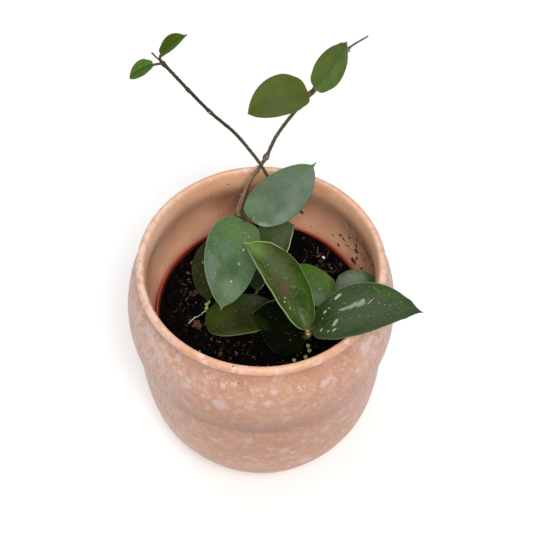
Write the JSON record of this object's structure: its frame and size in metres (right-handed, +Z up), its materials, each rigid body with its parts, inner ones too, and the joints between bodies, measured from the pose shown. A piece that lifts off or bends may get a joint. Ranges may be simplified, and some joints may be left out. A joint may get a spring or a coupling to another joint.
{
  "type": "potted trailing hoya plant",
  "caption": "Young trailing hoya with thick pointed leaves on two vines, rooted in a plastic growing pot that stands in a round two-tier ceramic cover pot.",
  "frame": {"origin": "centre of the cover pot's flat base, on the surface that it stands on", "axes": "+Z up along the pot's axis, -Y towards the side of the pot that the picture shows, +X to the picture's right"},
  "size_m": [0.1359, 0.131, 0.2227],
  "materials": {
    "glazed_pot": "satin glaze, peach with pale lavender blotches",
    "red_plastic": "moulded brick-red plastic",
    "soil": "damp dark potting soil",
    "vine_bark": "grey-brown woody stem",
    "vine_green": "dark olive stem",
    "leaf_blue_green": "thick waxy leaf, blue-green",
    "leaf_green": "thick waxy leaf, mid green",
    "leaf_shaded": "thick waxy leaf, dark green",
    "leaf_olive": "thick waxy leaf, olive green",
    "seedling": "tender bright green"
  },
  "bodies": {
    "root": {"cover_pot": "glazed_pot", "growing_pot": "red_plastic", "potting_soil": "soil", "vine_right": "vine_bark", "vine_left": "vine_green", "stem_front": "vine_bark", "stem_right": "vine_bark", "stem_middle": "vine_bark", "leaf_back_right": "leaf_blue_green", "leaf_centre_left": "leaf_blue_green", "leaf_centre": "leaf_green", "leaf_over_rim": "leaf_green", "leaf_back_low": "leaf_shaded", "leaf_right_low": "leaf_green", "leaf_right_far": "leaf_green", "leaf_front_left_low": "leaf_olive", "leaf_front_low": "leaf_shaded", "leaf_left_low": "leaf_shaded", "leaf_vine_lower": "leaf_olive", "leaf_vine_upper": "leaf_olive", "leaf_tip_upper": "leaf_green", "leaf_tip_lower": "leaf_green", "seedling_left": "seedling", "seedling_front": "seedling", "seedling_rim": "seedling", "seedling_low": "seedling"}
  },
  "joints": []
}
